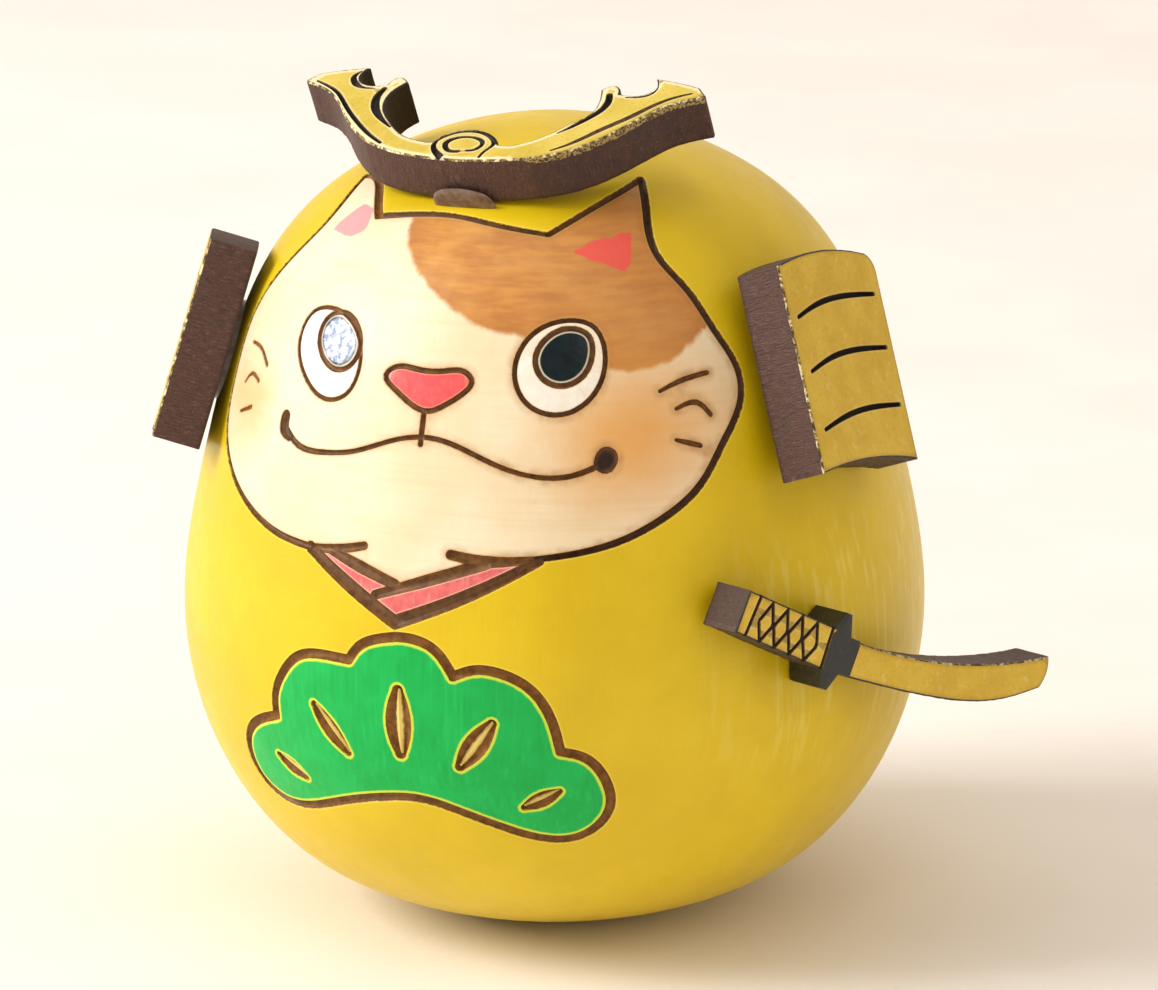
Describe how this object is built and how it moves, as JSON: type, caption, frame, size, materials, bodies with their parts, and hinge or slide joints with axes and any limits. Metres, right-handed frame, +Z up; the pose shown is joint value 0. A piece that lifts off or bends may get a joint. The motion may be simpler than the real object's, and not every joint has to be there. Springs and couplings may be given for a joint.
{
  "type": "daruma doll",
  "caption": "Turned wooden egg-shaped daruma painted as a samurai cat, with glued crest, shoulder guards and sword, on a weighted flat foot.",
  "frame": {"origin": "centre of the flat foot, where the body's turning axis meets the surface it stands on", "axes": "+Z up along the body's turning axis; the face looks along -Y; +X is the doll's own left, where the sword is"},
  "size_m": [0.074, 0.061, 0.0707],
  "materials": {
    "lacquered_wood": "turned light wood under yellow satin lacquer, with laser-engraved and painted face and pine emblem",
    "gilt_wood": "laser-cut plywood sheet, gold paint on the outer face, scorched dark brown edges",
    "plug_wood": "bare turned wood",
    "steel": "plain cut bar",
    "glue": "cured, slightly cloudy adhesive"
  },
  "bodies": {
    "root": {"body": "lacquered_wood", "base_plug": "plug_wood", "base_weight": "steel", "crest": "gilt_wood", "crest_glue": "glue", "left_sode": "gilt_wood", "left_sode_glue": "glue", "right_sode": "gilt_wood", "right_sode_glue": "glue", "sword": "gilt_wood", "sword_glue": "glue"}
  },
  "joints": []
}
